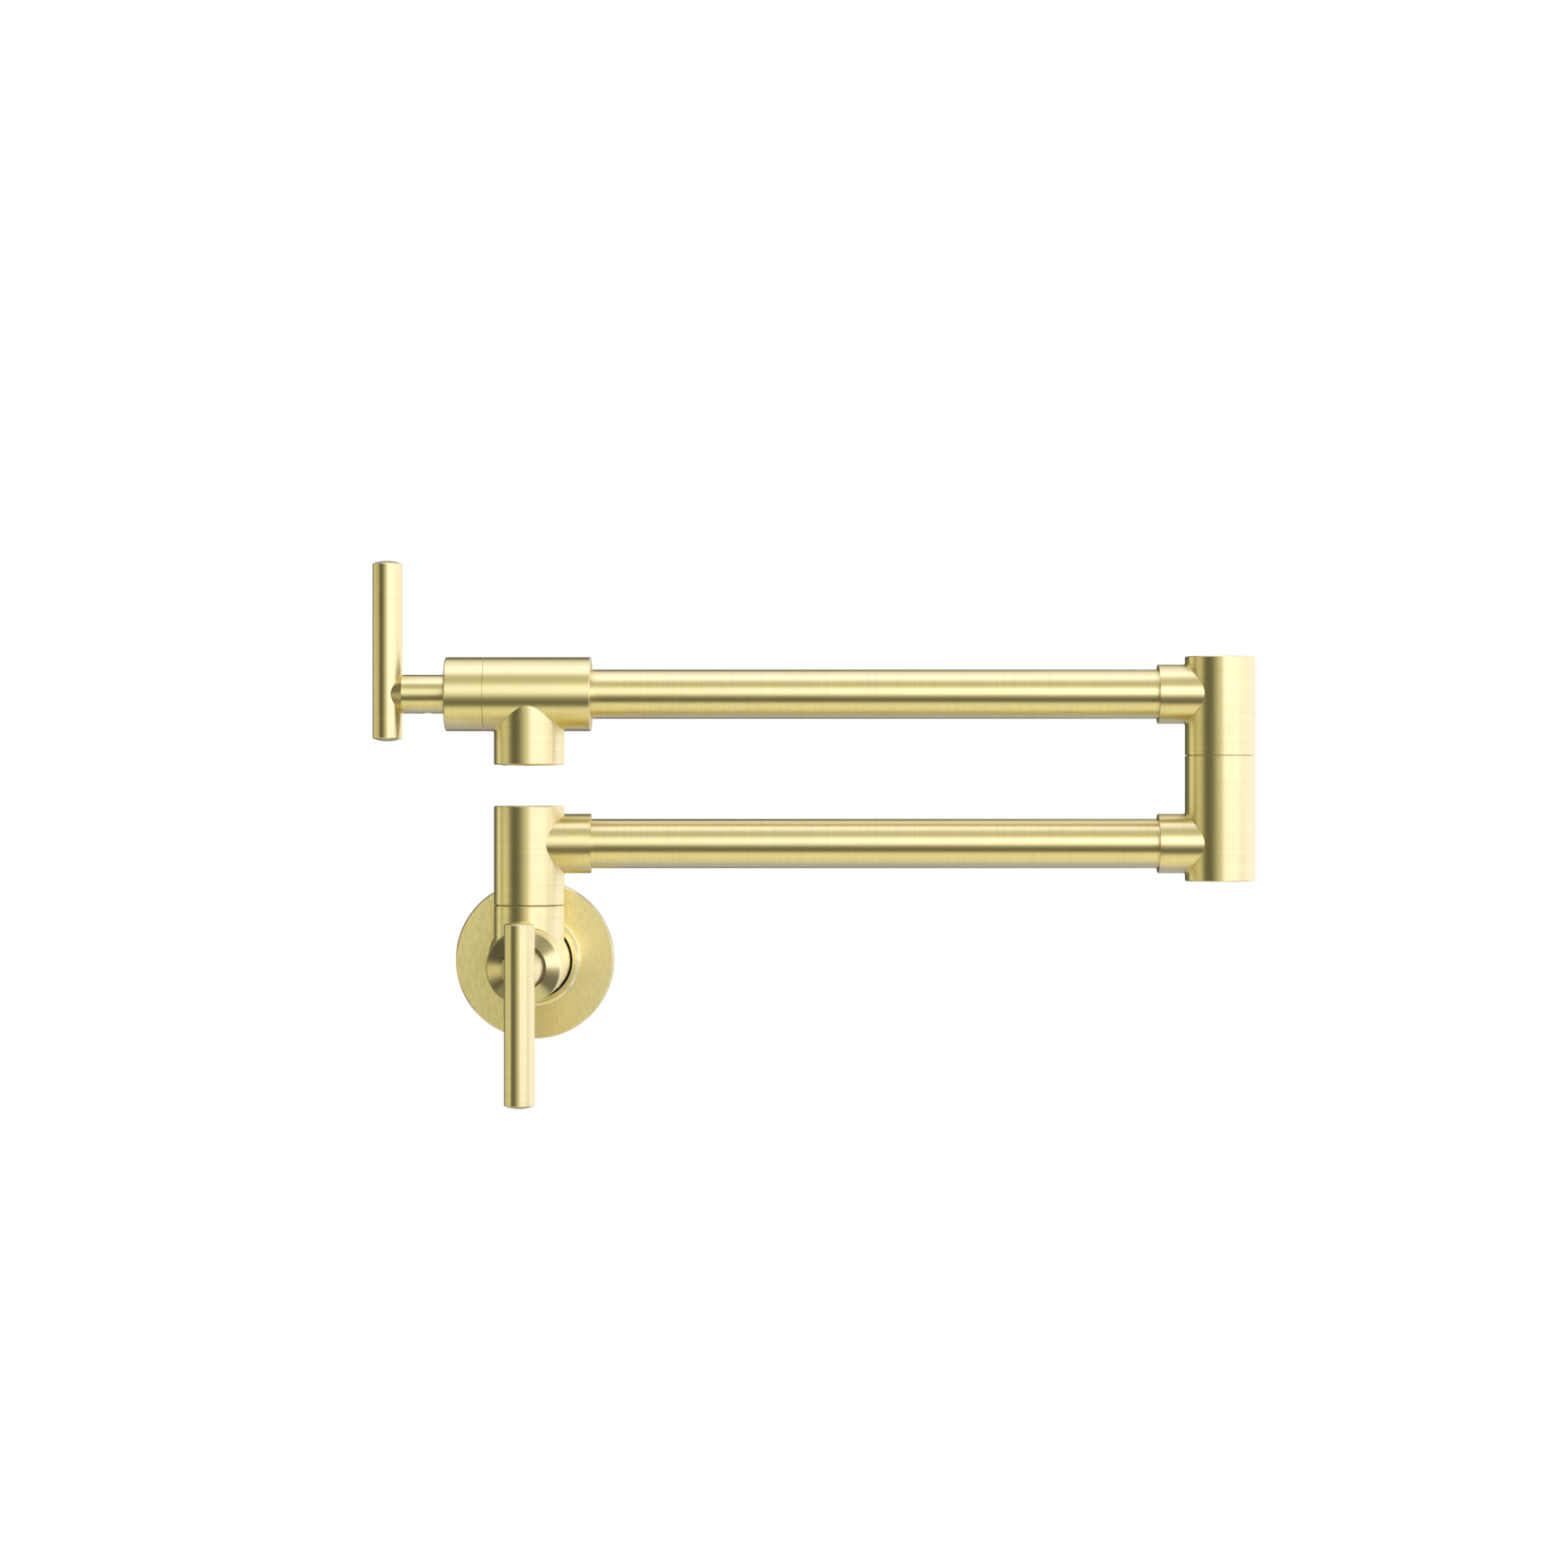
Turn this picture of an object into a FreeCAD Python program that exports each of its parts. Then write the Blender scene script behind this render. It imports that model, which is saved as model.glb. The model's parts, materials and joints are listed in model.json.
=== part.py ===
"""Wall-mounted double-jointed pot filler, folded flat along the wall.

Row frame, millimetres: the wall is the plane Y = 0 and the tap stands out of it towards -Y.
The origin is the centre of the wall flange's back face, +Z is up, and the folded arms run along +X.

Water path: wall inlet -> quarter-turn ceramic valve -> wall swivel -> lower arm tube -> elbow swivel
-> upper arm tube -> second quarter-turn ceramic valve -> aerator.
"""

import FreeCAD, Part
import Sketcher
import math
import os

doc = FreeCAD.newDocument("PotFiller")
sheet = doc.addObject("Spreadsheet::Sheet", "Dims")

# ---------------------------------------------------------------- driving dimensions
CELLS = [
    # layout
    ("reach", 280.0, "column axis to elbow axis"),
    ("wall_off", 41.0, "wall to column axis"),
    ("arm_gap", 60.5, "lower arm axis to upper arm axis"),
    ("split_z", 24.0, "wall valve axis to wall swivel plane"),
    ("open_len", 24.7, "arm axis to the open end of its swivel socket"),
    ("end_len", 15.2, "arm axis to the closed end of its column"),
    # outer tubes
    ("col_r", 14.2, "swivel column radius"),
    ("main_r", 15.0, "valve body radius"),
    ("coll_r", 12.0, "arm collar radius"),
    ("coll_len", 25.2, "column axis to collar end"),
    ("tube_r", 10.0, "arm tube outer radius"),
    ("tube_wall", 1.0, "arm tube wall"),
    ("tube_in", 15.0, "column axis to the tube's seated end"),
    ("blend_r", 0.7, "fillet where a branch leaves its column"),
    ("edge", 0.35, "broken edges on turned parts"),
    ("slip", 0.05, "running clearance, radial"),
    # wall flange
    ("fl_r", 32.75, "flange radius"),
    ("fl_th", 6.0, "flange thickness"),
    ("fl_collar_r", 19.0, "flange collar radius"),
    ("fl_collar_y", 11.8, "wall to the collar's front"),
    ("fl_bore_r", 15.8, "flange bore radius"),
    ("fl_bevel", 1.2, "bevel on the collar's front edge"),
    # valve, along its own axis: 0 at the column axis, positive towards the handle
    ("inlet_r", 9.15, "tapped inlet, drill radius for a half-inch pipe thread"),
    ("inlet_len", 18.0, "length of the tapped inlet"),
    ("rear_gap", 1.0, "wall to the valve body's rear face"),
    ("seam_at", 18.0, "body to bonnet seam"),
    ("spigot_r", 12.9, "bonnet spigot radius"),
    ("spigot_at", 24.0, "end of the bonnet spigot"),
    ("bonnet_at", 33.8, "bonnet front face"),
    ("bonnet_hole_r", 8.7, "bonnet front hole radius"),
    ("seat_at", 9.0, "column axis back to the cartridge seat"),
    ("seat_r", 9.0, "cartridge seat pocket radius"),
    ("chamber_r", 10.4, "cartridge chamber radius"),
    ("port_r", 6.0, "water way radius into the cartridge"),
    ("rise_r", 7.0, "water way radius out of the valve"),
    # handle
    ("hub_r", 7.85, "handle hub radius"),
    ("hub_at", 31.6, "inner end of the hub"),
    ("hub_cone_at", 51.2, "where the hub starts to taper"),
    ("hub_tip_r", 4.8, "taper radius at the bar's axis"),
    ("bar_at", 57.4, "column axis to the handle bar's axis"),
    ("bar_r", 6.0, "handle bar radius"),
    ("bar_long", 54.0, "handle bar, long side"),
    ("bar_short", 19.1, "handle bar, short side"),
    ("bar_dome", 1.1, "dome height on the bar's ends"),
    ("stud_r", 2.5, "stud between hub and bar"),
    ("screw_at", 41.0, "set screw position along the hub"),
    ("screw_r", 2.0, "set screw radius"),
    ("stem_r", 4.0, "cartridge stem radius"),
    ("stem_flat", 3.0, "flat under the set screw"),
    # swivel, heights above the swivel plane
    ("post_r", 10.4, "swivel post bearing radius"),
    ("neck_r", 8.0, "swivel post neck radius"),
    ("thread_r", 9.5, "swivel post root radius"),
    ("thread_len", 12.0, "swivel post root length"),
    ("post_bore_r", 5.8, "water way through the post"),
    ("ledge_lo", 15.5, "underside of the socket's inner ledge"),
    ("ledge_hi", 18.0, "top of the socket's inner ledge"),
    ("room_r", 11.8, "socket water room radius"),
    ("side_r", 6.2, "water way from socket to tube"),
    ("seam_gap", 0.3, "open line at a swivel"),
    ("washer_r", 13.4, "thrust washer radius"),
    ("washer_th", 0.8, "thrust washer thickness"),
    ("cap_th", 6.0, "end cap thickness"),
    # outlet
    ("outlet_len", 28.6, "upper arm axis to the outlet's end"),
    ("aer_r", 11.4, "aerator bore radius"),
    ("aer_deep", 10.0, "aerator bore depth"),
]


class Dim:
    """A number that also knows the sheet formula it came from."""

    def __init__(self, value, text):
        self.value, self.text = float(value), text

    def __add__(self, o):
        o = dim(o)
        return Dim(self.value + o.value, f"({self.text} + {o.text})")

    def __sub__(self, o):
        o = dim(o)
        return Dim(self.value - o.value, f"({self.text} - {o.text})")

    def __mul__(self, o):
        o = dim(o)
        return Dim(self.value * o.value, f"({self.text} * {o.text})")

    def __radd__(self, o):
        return dim(o) + self

    def __rsub__(self, o):
        return dim(o) - self

    def __neg__(self):
        return Dim(-self.value, f"(0 - {self.text})")


def dim(x):
    return x if isinstance(x, Dim) else Dim(x, f"({float(x)!r})")


class Cells:
    """Every driving dimension under its alias."""


C = Cells()
for row, (alias, value, note) in enumerate(CELLS, start=1):
    sheet.set(f"A{row}", note)
    sheet.set(f"B{row}", str(value))
    sheet.setAlias(f"B{row}", alias)
    setattr(C, alias, Dim(value, f"Dims.{alias}"))
doc.recompute()

V = FreeCAD.Vector
SUBPARTS = []


# ---------------------------------------------------------------- frames
def axes(x, y, z):
    m = FreeCAD.Matrix(x[0], y[0], z[0], 0, x[1], y[1], z[1], 0, x[2], y[2], z[2], 0, 0, 0, 0, 1)
    return FreeCAD.Placement(m).Rotation


OUT_UP = axes((0, 0, 1), (-1, 0, 0), (0, -1, 0))  # wall valve: axis out of the wall, branch up
LEFT_DOWN = axes((0, 0, -1), (0, -1, 0), (-1, 0, 0))  # spout valve: axis to the left, branch down
UPRIGHT = axes((1, 0, 0), (0, 1, 0), (0, 0, 1))  # column, branch to the right
TURNED = axes((-1, 0, 0), (0, -1, 0), (0, 0, 1))  # column, branch to the left

ARM_LO = C.split_z + C.open_len
ARM_HI = ARM_LO + C.arm_gap
ELBOW_Z = ARM_HI - C.open_len
WALL_VALVE = ((0, -C.wall_off, 0), OUT_UP)
SPOUT_VALVE = ((0, -C.wall_off, ARM_HI), LEFT_DOWN)
WALL_FACE = ((0, 0, 0), OUT_UP)
WALL_SWIVEL = ((0, -C.wall_off, C.split_z), UPRIGHT)
ELBOW_SWIVEL = ((C.reach, -C.wall_off, ELBOW_Z), TURNED)
ELBOW_BASE = ((C.reach, -C.wall_off, ARM_LO - C.end_len), TURNED)
OUTLET = ((0, -C.wall_off, ARM_HI - C.outlet_len), UPRIGHT)


def place(obj, frame):
    base, rotation = frame
    base = [dim(b) for b in base]
    obj.Placement = FreeCAD.Placement(V(*[b.value for b in base]), rotation)
    for name, b in zip("xyz", base):
        if "Dims" in b.text:
            obj.setExpression(f".Placement.Base.{name}", b.text)


def keep(obj, label, frame):
    obj.Label = label
    place(obj, frame)
    SUBPARTS.append(obj)
    return obj


# ---------------------------------------------------------------- sketch helpers
def plane(body, role):
    return next(f for f in body.Origin.OriginFeatures if f.Role == role)


def new_sketch(body, name, role):
    sk = body.newObject("Sketcher::SketchObject", name)
    sk.AttachmentSupport = (plane(body, role), [""])
    sk.MapMode = "FlatFace"
    return sk


def pin_point(sk, geo, pos, x, y):
    """Holds one sketch point at sheet-driven distances from the sketch's origin."""
    x, y = dim(x), dim(y)
    for value, kind, axis in ((x, "DistanceX", -2), (y, "DistanceY", -1)):
        if abs(value.value) < 1e-9:
            sk.addConstraint(Sketcher.Constraint("PointOnObject", geo, pos, axis))
        else:
            i = sk.addConstraint(Sketcher.Constraint(kind, -1, 1, geo, pos, value.value))
            if "Dims" in value.text:
                sk.setExpression(f"Constraints[{i}]", value.text)


def outline(body, name, points, role="XZ_Plane", dome=()):
    """Closed outline through the points. A segment in dome is an arc centred on the sketch's vertical axis."""
    sk = new_sketch(body, name, role)
    p = [V(dim(a).value, dim(b).value, 0) for a, b in points]
    n = len(p)
    ends = []
    for i in range(n):
        a, b = p[i], p[(i + 1) % n]
        if i in dome:
            zc = ((b.x**2 + b.y**2) - (a.x**2 + a.y**2)) / (2 * (b.y - a.y))
            centre = V(0, zc, 0)
            mid = (a + b) * 0.5 - centre
            mid = centre + mid * ((a - centre).Length / mid.Length)
            g = sk.addGeometry(Part.Arc(a, mid, b), False)
            first = 1 if (sk.Geometry[g].StartPoint - a).Length < 1e-6 else 2
            ends.append((first, 3 - first))
        else:
            sk.addGeometry(Part.LineSegment(a, b), False)
            ends.append((1, 2))
    for i in range(n):
        j = (i + 1) % n
        sk.addConstraint(Sketcher.Constraint("Coincident", i, ends[i][1], j, ends[j][0]))
    for i in range(n):
        pin_point(sk, i, ends[i][0], *points[i])
    for i in dome:
        sk.addConstraint(Sketcher.Constraint("PointOnObject", i, 3, -2))
    return sk


def circles(body, name, rounds, role):
    """Circles given as (radius, x, y)."""
    sk = new_sketch(body, name, role)
    for r, x, y in rounds:
        r = dim(r)
        g = sk.addGeometry(Part.Circle(V(dim(x).value, dim(y).value, 0), V(0, 0, 1), r.value), False)
        pin_point(sk, g, 3, x, y)
        i = sk.addConstraint(Sketcher.Constraint("Radius", g, r.value))
        if "Dims" in r.text:
            sk.setExpression(f"Constraints[{i}]", r.text)
    return sk


def new_body(name):
    return doc.addObject("PartDesign::Body", name)


def volume(body):
    doc.recompute()
    return body.Shape.Volume


def turn(body, points, name="profile", axis="V_Axis", cut=False, dome=()):
    before = body.Shape.Volume if cut else 0.0
    sk = outline(body, name, points, dome=dome)
    f = body.newObject("PartDesign::Groove" if cut else "PartDesign::Revolution", name + "_turned")
    f.Profile = sk
    f.ReferenceAxis = (sk, [axis])
    f.Angle = 360.0
    after = volume(body)
    if cut and after > before - 1e-3:
        raise RuntimeError(f"{body.Name}: {name} cut nothing")
    return f


def pad(body, sk, length, back=False, both=False):
    f = body.newObject("PartDesign::Pad", sk.Name + "_pad")
    f.Profile = sk
    length = dim(length)
    f.Length = length.value
    if "Dims" in length.text:
        f.setExpression("Length", length.text)
    f.Reversed = back
    if both:
        f.SideType = "Symmetric"
    doc.recompute()
    return f


def pocket(body, sk, length=None, back=False):
    """Cuts a sketch through the whole body both ways, or to a length on one side."""
    before = body.Shape.Volume
    f = body.newObject("PartDesign::Pocket", sk.Name + "_cut")
    f.Profile = sk
    if length is None:
        f.SideType = "Symmetric"
        f.Type = "ThroughAll"
    else:
        length = dim(length)
        f.Length = length.value
        if "Dims" in length.text:
            f.setExpression("Length", length.text)
        f.Reversed = back
    if volume(body) > before - 1e-3:
        raise RuntimeError(f"{body.Name}: {sk.Name} cut nothing")
    return f


def blend_branch(body, radius):
    """Rounds the curve where a branch cylinder runs into its column."""
    tip = body.Tip
    names = []
    for i, e in enumerate(tip.Shape.Edges, start=1):
        kind = e.Curve.TypeId
        if "BSpline" in kind:
            names.append(f"Edge{i}")
    if not names:
        raise RuntimeError(f"{body.Name}: no branch curve")
    f = body.newObject("PartDesign::Fillet", "branch_blend")
    f.Base = (tip, names)
    f.Radius = radius.value
    f.setExpression("Radius", radius.text)
    doc.recompute()
    if "Invalid" in f.State or "Error" in f.State or not f.Shape.isValid():
        raise RuntimeError(f"{body.Name}: branch fillet failed")
    return f


def ring(label, frame, r0, r1, z0, z1, bevel=None):
    """A plain turned ring."""
    b = new_body(label)
    if bevel is None:
        pts = [(r0, z0), (r1, z0), (r1, z1), (r0, z1)]
    else:
        pts = [(r0, z0), (r1 - bevel, z0), (r1, z0 + bevel), (r1, z1 - bevel), (r1 - bevel, z1), (r0, z1)]
    turn(b, pts)
    return keep(b, label, frame)


def o_rings(label, frame, radius, section, heights):
    """One or more O-rings on one axis."""
    links = []
    for k, h in enumerate(heights):
        t = doc.addObject("Part::Torus", f"{label}_{k + 1}")
        for prop, d in (("Radius1", dim(radius)), ("Radius2", dim(section))):
            setattr(t, prop, d.value)
            if "Dims" in d.text:
                t.setExpression(prop, d.text)
        t.Placement.Base = V(0, 0, dim(h).value)
        if "Dims" in dim(h).text:
            t.setExpression(".Placement.Base.z", dim(h).text)
        links.append(t)
    if len(links) == 1 and "Dims" not in dim(heights[0]).text and dim(heights[0]).value == 0:
        return keep(links[0], label, frame)
    group = doc.addObject("Part::Compound", label)
    group.Links = links
    return keep(group, label, frame)


# ---------------------------------------------------------------- wall flange
b = new_body("wall_flange")
turn(
    b,
    [
        (C.fl_bore_r, 0.8),
        (18.4, 0.8),
        (18.4, 3.6),
        (29.8, 3.6),
        (29.8, 0),
        (C.fl_r, 0),
        (C.fl_r, C.fl_th - 0.5),
        (C.fl_r - 0.5, C.fl_th),
        (C.fl_collar_r, C.fl_th),
        (C.fl_collar_r, C.fl_collar_y - C.fl_bevel),
        (C.fl_collar_r - C.fl_bevel, C.fl_collar_y),
        (C.fl_bore_r + 0.2, C.fl_collar_y),
        (C.fl_bore_r, C.fl_collar_y - 0.2),
        (C.fl_bore_r, 9.6),
        (C.fl_bore_r + 1.6, 9.6),
        (C.fl_bore_r + 1.6, 7.0),
        (C.fl_bore_r, 7.0),
    ],
)
keep(b, "wall_flange", WALL_FACE)
ring("wall_gasket", WALL_FACE, 18.8, 29.4, 0.1, 3.5)
o_rings("flange_grip_ring", WALL_FACE, C.main_r + 1.2, 1.15, [8.3])


# ---------------------------------------------------------------- valve bodies
def swivel_seat(top):
    """Cut at the top of a column that carries a swivel post: washer recess, post thread."""
    return [
        (0, top + 1),
        (C.washer_r + 0.1, top + 1),
        (C.washer_r + 0.1, top - C.washer_th),
        (C.thread_r + C.slip, top - C.washer_th),
        (C.thread_r + C.slip, top - C.thread_len - 0.5),
    ]


def valve_body(name, frame, rear, rear_cut, branch):
    """Straight valve barrel with a bonnet spigot in front and a branch column at right angles."""
    b = new_body(name)
    turn(
        b,
        [
            (0, -rear),
            (C.main_r - C.edge, -rear),
            (C.main_r, C.edge - rear),
            (C.main_r, C.seam_at - 0.12),
            (C.main_r - 0.12, C.seam_at),
            (C.spigot_r, C.seam_at),
            (C.spigot_r, C.spigot_at),
            (0, C.spigot_at),
        ],
        "barrel",
    )
    # the branch column, with its broken edge, turned about the branch axis
    length, mouth = branch
    turn(
        b,
        [(0, 0), (0, C.col_r), (length - C.edge, C.col_r), (length, C.col_r - C.edge), (length, 0)],
        "branch",
        axis="H_Axis",
    )
    blend_branch(b, C.blend_r)
    turn(
        b,
        rear_cut
        + [
            (C.port_r, -C.seat_at),
            (C.seat_r, -C.seat_at),
            (C.seat_r, -5.0),
            (C.chamber_r, -5.0),
            (C.chamber_r, C.spigot_at + 1),
            (0, C.spigot_at + 1),
        ],
        "water_way",
        cut=True,
    )
    turn(b, mouth, "branch_way", axis="H_Axis", cut=True)
    return keep(b, name, frame)


WALL_REAR = C.wall_off - C.rear_gap
valve_body(
    "wall_valve_body",
    WALL_VALVE,
    WALL_REAR,
    [
        (0, -WALL_REAR - 1),
        (C.inlet_r, -WALL_REAR - 1),
        (C.inlet_r, C.inlet_len - WALL_REAR),
        (C.port_r, C.inlet_len - WALL_REAR),
    ],
    (
        C.split_z - C.seam_gap,
        [
            (C.split_z + 1, 0),
            (C.split_z + 1, C.washer_r + 0.1),
            (C.split_z - C.washer_th, C.washer_r + 0.1),
            (C.split_z - C.washer_th, C.thread_r + C.slip),
            (C.split_z - C.thread_len - 0.5, C.thread_r + C.slip),
            (C.split_z - C.thread_len - 0.5, C.rise_r),
            (0, C.rise_r),
            (0, 0),
        ],
    ),
)
valve_body(
    "spout_valve_body",
    SPOUT_VALVE,
    C.coll_len,
    [
        (0, -C.coll_len - 1),
        (C.tube_r + C.slip, -C.coll_len - 1),
        (C.tube_r + C.slip, -C.tube_in),
        (C.port_r, -C.tube_in),
    ],
    (
        C.outlet_len,
        [
            (C.outlet_len + 1, 0),
            (C.outlet_len + 1, C.aer_r),
            (C.outlet_len - C.aer_deep, C.aer_r),
            (C.outlet_len - C.aer_deep, C.rise_r),
            (0, C.rise_r),
            (0, 0),
        ],
    ),
)


# ---------------------------------------------------------------- valve internals and handles, made twice
def hexagon(flat):
    """Corners of a hexagon of that across-flats size."""
    r = flat / math.sqrt(3)
    return [(r * math.cos(math.radians(60 * k + 30)), r * math.sin(math.radians(60 * k + 30))) for k in range(6)]


def valve_set(tag, frame):
    # screwed bonnet that covers the cartridge's hexagon
    b = new_body(f"{tag}_bonnet")
    back = C.seam_at + 0.06
    turn(
        b,
        [
            (C.spigot_r + C.slip, back),
            (C.main_r - 0.12, back),
            (C.main_r, back + 0.12),
            (C.main_r, C.bonnet_at - 0.6),
            (C.main_r - 0.18, C.bonnet_at - 0.18),
            (C.main_r - 0.6, C.bonnet_at),
            (C.bonnet_hole_r + 0.25, C.bonnet_at),
            (C.bonnet_hole_r, C.bonnet_at - 0.25),
            (C.bonnet_hole_r, 28.5),
            (C.spigot_r + C.slip, 28.5),
        ],
    )
    keep(b, f"{tag}_bonnet", frame)

    # cartridge housing: ported skirt, threaded shank, hexagon, stem neck
    b = new_body(f"{tag}_cartridge_housing")
    turn(
        b,
        [
            (0, -7.5),
            (8.9, -7.5),
            (8.9, 9.0),
            (C.chamber_r - 0.1, 9.0),
            (C.chamber_r - 0.1, 20.0),
            (8.9, 20.0),
            (8.9, 22.0),
            (C.chamber_r - 0.1, 22.0),
            (C.chamber_r - 0.1, C.spigot_at + 0.02),
            (9.8, C.spigot_at + 0.02),
            (9.8, 27.6),
            (6.4, 27.6),
            (6.4, 30.4),
            (0, 30.4),
        ],
        "shank",
    )
    sk = outline(b, "hexagon", hexagon(20.0), role="XY_Plane")
    sk.AttachmentOffset = FreeCAD.Placement(V(0, 0, C.spigot_at.value + 0.02), FreeCAD.Rotation())
    pad(b, sk, 3.4)
    turn(
        b,
        [
            (0, -8.5),
            (7.3, -8.5),
            (7.3, 3.0),
            (C.stem_r + C.slip, 3.0),
            (C.stem_r + C.slip, 31.0),
            (0, 31.0),
        ],
        "stem_bore",
        cut=True,
    )
    sk = outline(b, "windows", [(-4.0, -3.5), (4.0, -3.5), (4.0, 2.4), (-4.0, 2.4)], role="YZ_Plane")
    pocket(b, sk)
    keep(b, f"{tag}_cartridge_housing", frame)
    o_rings(f"{tag}_cartridge_o_ring", frame, 9.64, 0.72, [21.0])
    ring(f"{tag}_cartridge_seal", frame, 5.2, 7.2, -C.seat_at, -6.9)

    # fixed ceramic disc with two ports across the stem's Y direction
    b = new_body(f"{tag}_fixed_disc")
    turn(b, [(0, -6.9), (7.2, -6.9), (7.2, -3.9), (0, -3.9)])
    for s, side in ((1, "a"), (-1, "b")):
        sk = outline(
            b,
            f"port_{side}",
            [(-1.0, 1.6 * s), (1.0, 1.6 * s), (3.2, 4.8 * s), (-3.2, 4.8 * s)],
            role="XY_Plane",
        )
        pocket(b, sk)
    keep(b, f"{tag}_fixed_disc", frame)

    # turning ceramic disc: its notches stand a quarter turn from the ports when the valve is shut
    b = new_body(f"{tag}_rotor_disc")
    turn(b, [(0, -3.88), (7.2, -3.88), (7.2, -0.92), (0, -0.92)])
    for s, side in ((1, "a"), (-1, "b")):
        sk = outline(
            b,
            f"notch_{side}",
            [(1.6 * s, -1.0), (1.6 * s, 1.0), (8.0 * s, 4.8), (8.0 * s, -4.8)],
            role="XY_Plane",
        )
        pocket(b, sk)
    sk = outline(b, "drive_slot", [(-1.05, -5.1), (1.05, -5.1), (1.05, 5.1), (-1.05, 5.1)], role="XY_Plane")
    sk.AttachmentOffset = FreeCAD.Placement(V(0, 0, -0.92), FreeCAD.Rotation())
    pocket(b, sk, 1.2)
    keep(b, f"{tag}_rotor_disc", frame)

    # stem: driver with its tang, O-ring grooves, clip groove, flat for the set screw
    b = new_body(f"{tag}_cartridge_stem")
    turn(
        b,
        [
            (0, -0.9),
            (7.1, -0.9),
            (7.1, 2.6),
            (C.stem_r, 2.6),
            (C.stem_r, 7.2),
            (2.9, 7.2),
            (2.9, 8.8),
            (C.stem_r, 8.8),
            (C.stem_r, 11.2),
            (2.9, 11.2),
            (2.9, 12.8),
            (C.stem_r, 12.8),
            (C.stem_r, 30.5),
            (3.2, 30.5),
            (3.2, 31.1),
            (C.stem_r, 31.1),
            (C.stem_r, 44.0),
            (C.stem_r - 0.5, 44.5),
            (0, 44.5),
        ],
        "shaft",
    )
    sk = outline(b, "tang", [(-1.0, -5.0), (1.0, -5.0), (1.0, 5.0), (-1.0, 5.0)], role="XY_Plane")
    sk.AttachmentOffset = FreeCAD.Placement(V(0, 0, -0.9), FreeCAD.Rotation())
    pad(b, sk, 1.1, back=True)
    sk = outline(
        b,
        "screw_flat",
        [(C.stem_flat, C.screw_at - 4), (6.0, C.screw_at - 4), (6.0, 46.0), (C.stem_flat, 46.0)],
    )
    pocket(b, sk)
    keep(b, f"{tag}_cartridge_stem", frame)
    o_rings(f"{tag}_stem_o_rings", frame, 3.47, 0.56, [8.0, 12.0])

    # snap ring on the stem, open on one side
    b = new_body(f"{tag}_stem_clip")
    turn(b, [(3.25, 30.55), (5.6, 30.55), (5.6, 31.05), (3.25, 31.05)])
    sk = outline(b, "mouth", [(0.5, -2.2), (7.0, -2.2), (7.0, 2.2), (0.5, 2.2)], role="XY_Plane")
    pocket(b, sk)
    keep(b, f"{tag}_stem_clip", frame)

    # hub: bored for the stem, tapered and saddled onto the bar
    b = new_body(f"{tag}_handle_hub")
    turn(
        b,
        [
            (0, C.hub_at),
            (C.hub_r - C.edge, C.hub_at),
            (C.hub_r, C.hub_at + C.edge),
            (C.hub_r, C.hub_cone_at),
            (C.hub_tip_r, C.bar_at),
            (0, C.bar_at),
        ],
        "hub",
    )
    sk = circles(b, "saddle", [(C.bar_r + 0.01, 0, C.bar_at)], "YZ_Plane")
    pocket(b, sk)
    turn(
        b,
        [
            (0, C.hub_at - 1),
            (C.stem_r + C.slip, C.hub_at - 1),
            (C.stem_r + C.slip, 44.8),
            (C.stud_r, 44.8),
            (C.stud_r, C.bar_at),
            (0, C.bar_at),
        ],
        "bores",
        cut=True,
    )
    sk = circles(b, "screw_hole", [(C.screw_r, 0, C.screw_at)], "YZ_Plane")
    pocket(b, sk, 12.0, back=True)
    keep(b, f"{tag}_handle_hub", frame)

    # stud that draws the hub onto the bar
    b = new_body(f"{tag}_handle_stud")
    turn(
        b,
        [
            (0, 45.0),
            (C.stud_r - 0.4, 45.0),
            (C.stud_r - 0.02, 45.4),
            (C.stud_r - 0.02, C.bar_at + 2.6),
            (C.stud_r - 0.4, C.bar_at + 3.0),
            (0, C.bar_at + 3.0),
        ],
    )
    keep(b, f"{tag}_handle_stud", frame)

    # round bar with crowned ends, turned about its own axis, which lies across the hub
    b = new_body(f"{tag}_handle_bar")
    turn(
        b,
        [
            (0, -C.bar_long),
            (C.bar_r - 0.3, C.bar_dome - C.bar_long),
            (C.bar_r, C.bar_dome - C.bar_long + 0.3),
            (C.bar_r, C.bar_short - C.bar_dome - 0.3),
            (C.bar_r - 0.3, C.bar_short - C.bar_dome),
            (0, C.bar_short),
        ],
        "bar",
        dome=(0, 4),
    )
    sk = circles(b, "stud_hole", [(C.stud_r, 0, 0)], "YZ_Plane")
    pocket(b, sk, 3.2)
    hole = circles(b, "stud_mouth", [(C.stud_r, 0, 0)], "YZ_Plane")
    pocket(b, hole, 8.0, back=True)
    base, rotation = frame
    # the bar's own Z runs along the branch direction, its own X back towards the valve
    local = FreeCAD.Placement(V(0, 0, 0), axes((0, 0, -1), (0, 1, 0), (1, 0, 0)))
    direction = rotation.multVec(V(0, 0, 1))
    at = []
    for k in range(3):
        d = dim(base[k])
        at.append(d + C.bar_at * round(direction[k]) if round(direction[k]) else d)
    keep(b, f"{tag}_handle_bar", (at, rotation.multiply(local.Rotation)))

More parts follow.
